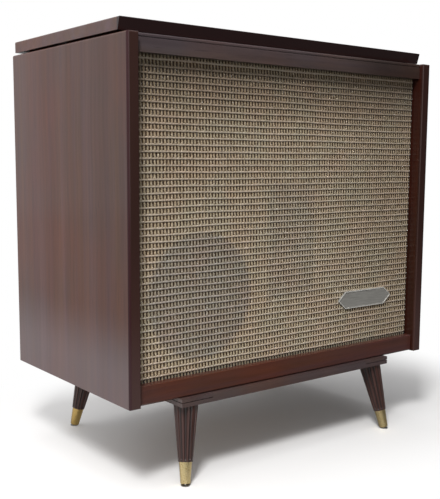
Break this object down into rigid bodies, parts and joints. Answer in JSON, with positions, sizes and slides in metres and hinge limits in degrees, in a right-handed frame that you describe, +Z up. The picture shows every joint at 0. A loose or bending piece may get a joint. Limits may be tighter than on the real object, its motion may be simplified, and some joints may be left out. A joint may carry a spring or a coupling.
{
  "type": "record console cabinet",
  "caption": "Lift-lid record console on splayed fluted legs, with a woven front grille, a record changer, tone controls, loudspeakers and a rear inlet.",
  "frame": {"origin": "on the floor under the middle of the footprint", "axes": "+X to the right seen from the front, +Y to the rear, +Z up; the grille faces -Y"},
  "size_m": [0.712, 0.4206, 0.761],
  "materials": {
    "mahogany": "satin lacquer over dark red-brown figured wood",
    "leg_wood": "satin lacquer over dark turned wood",
    "plywood": "bare plywood and softwood",
    "dark_board": "dark stained board",
    "hardboard": "bare pressed fibre board",
    "woven_grille": "open tan weave of thick and thin yarns",
    "plaque_metal": "brushed field inside a polished rim",
    "brass": "polished, slightly aged",
    "zinc_screw": "bright zinc",
    "bright_steel": "bright plated steel",
    "core_steel": "plain plated steel",
    "cream_enamel": "satin cream enamel",
    "black_enamel": "satin black enamel",
    "black_rubber": "matt ribbed rubber",
    "cream_plastic": "glossy moulded cream",
    "black_plastic": "matt moulded black",
    "brushed_panel": "lengthwise brushed",
    "valve_glass": "clear glass",
    "cone_paper": "pressed dark paper"
  },
  "bodies": {
    "cabinet": {"side_panel_left": "mahogany", "side_panel_right": "mahogany", "top_rail": "mahogany", "bottom_rail": "mahogany", "bottom_board": "plywood", "deck_board": "dark_board", "rear_rail": "dark_board", "back_panel": "hardboard", "back_panel_screws": "zinc_screw", "glue_blocks": "plywood", "baffle_board": "plywood", "grille_cloth": "woven_grille", "grille_plaque": "plaque_metal", "frame_front_board": "mahogany", "frame_rear_board": "mahogany", "frame_left_board": "mahogany", "frame_right_board": "mahogany", "leg_front_left": "leg_wood", "leg_front_right": "leg_wood", "leg_rear_left": "leg_wood", "leg_rear_right": "leg_wood", "leg_ferrules": "brass", "leg_fixings": "zinc_screw", "hinge_fixed_leaves": "brass", "hinge_pins": "zinc_screw", "lid_bumpers": "black_rubber", "stay_track": "bright_steel", "changer_plate": "cream_enamel", "record_spindle": "bright_steel", "motor_body": "core_steel", "tonearm_pedestal": "cream_plastic", "arm_rest": "cream_plastic", "control_panel": "brushed_panel", "control_pots": "core_steel", "amplifier_chassis": "core_steel", "transformers": "core_steel", "valves": "valve_glass", "woofer_frame": "black_enamel", "woofer_cone": "cone_paper", "treble_horn": "black_plastic", "oval_tweeter": "black_enamel", "mains_inlet": "black_plastic"},
    "lid": {"lid_panel": "mahogany", "hinge_moving_leaves": "brass", "stay_bracket": "bright_steel"},
    "lid_stay": {"stay_arm": "bright_steel"},
    "platter": {"platter": "bright_steel", "platter_mat": "black_rubber"},
    "idler": {"idler_wheel": "black_rubber"},
    "motor_rotor": {"motor_pulley": "brass"},
    "tonearm_swivel": {"tonearm_gimbal": "bright_steel"},
    "tonearm": {"tonearm": "cream_plastic", "cartridge": "black_plastic"},
    "overarm": {"record_overarm": "bright_steel"},
    "speed_lever": {"speed_lever": "cream_plastic"},
    "function_lever": {"function_lever": "cream_plastic"},
    "volume_knob": {"volume_knob": "cream_plastic"},
    "treble_knob": {"treble_knob": "cream_plastic"},
    "bass_knob": {"bass_knob": "cream_plastic"},
    "selector_knob": {"selector_knob": "cream_plastic"}
  },
  "joints": [
    {"name": "lid_hinge", "type": "hinge", "parent": "cabinet", "child": "lid", "pos_m": [0, 0.2063, 0.739], "axis": [-1, 0, 0], "range_deg": [0, 68]},
    {"name": "lid_stay_pivot", "type": "hinge", "parent": "lid", "child": "lid_stay", "pos_m": [-0.3283, 0.05657, 0.73], "axis": [1, 0, 0], "range_deg": [0, 137]},
    {"name": "platter_spin", "type": "hinge", "parent": "cabinet", "child": "platter", "pos_m": [-0.165, 0.005, 0.63], "axis": [0, 0, 1], "continuous": true},
    {"name": "idler_spin", "type": "hinge", "parent": "cabinet", "child": "idler", "pos_m": [-0.23096, -0.0892, 0.623], "axis": [0, 0, 1], "continuous": true},
    {"name": "motor_spin", "type": "hinge", "parent": "cabinet", "child": "motor_rotor", "pos_m": [-0.21104, -0.08746, 0.6], "axis": [0, 0, 1], "continuous": true},
    {"name": "tonearm_swing", "type": "hinge", "parent": "cabinet", "child": "tonearm_swivel", "pos_m": [0.005, 0.115, 0.64], "axis": [0, 0, -1], "range_deg": [0, 41]},
    {"name": "tonearm_lift", "type": "hinge", "parent": "tonearm_swivel", "child": "tonearm", "pos_m": [0.005, 0.115, 0.658], "axis": [-1, 0, 0], "range_deg": [0, 12]},
    {"name": "overarm_swing", "type": "hinge", "parent": "cabinet", "child": "overarm", "pos_m": [-0.285, 0.146, 0.66], "axis": [0, 0, 1], "range_deg": [0, 50]},
    {"name": "speed_lever_turn", "type": "hinge", "parent": "cabinet", "child": "speed_lever", "pos_m": [-0.062, -0.114, 0.62], "axis": [0, 0, 1], "range_deg": [-45, 45]},
    {"name": "function_lever_turn", "type": "hinge", "parent": "cabinet", "child": "function_lever", "pos_m": [0.022, -0.088, 0.62], "axis": [0, 0, 1], "range_deg": [-30, 30]},
    {"name": "volume_knob_turn", "type": "hinge", "parent": "cabinet", "child": "volume_knob", "pos_m": [0.116, -0.09, 0.615], "axis": [0, 0, -1], "range_deg": [0, 300]},
    {"name": "treble_knob_turn", "type": "hinge", "parent": "cabinet", "child": "treble_knob", "pos_m": [0.172, -0.09, 0.615], "axis": [0, 0, -1], "range_deg": [-150, 150]},
    {"name": "bass_knob_turn", "type": "hinge", "parent": "cabinet", "child": "bass_knob", "pos_m": [0.228, -0.09, 0.615], "axis": [0, 0, -1], "range_deg": [-150, 150]},
    {"name": "selector_knob_turn", "type": "hinge", "parent": "cabinet", "child": "selector_knob", "pos_m": [0.284, -0.09, 0.615], "axis": [0, 0, -1], "range_deg": [0, 120]}
  ],
  "couplings": [
    {"joint": "lid_stay_pivot", "follows": "lid_hinge", "ratio": 2},
    {"joint": "idler_spin", "follows": "platter_spin", "ratio": 8.1875},
    {"joint": "motor_spin", "follows": "platter_spin", "ratio": -32.75}
  ]
}
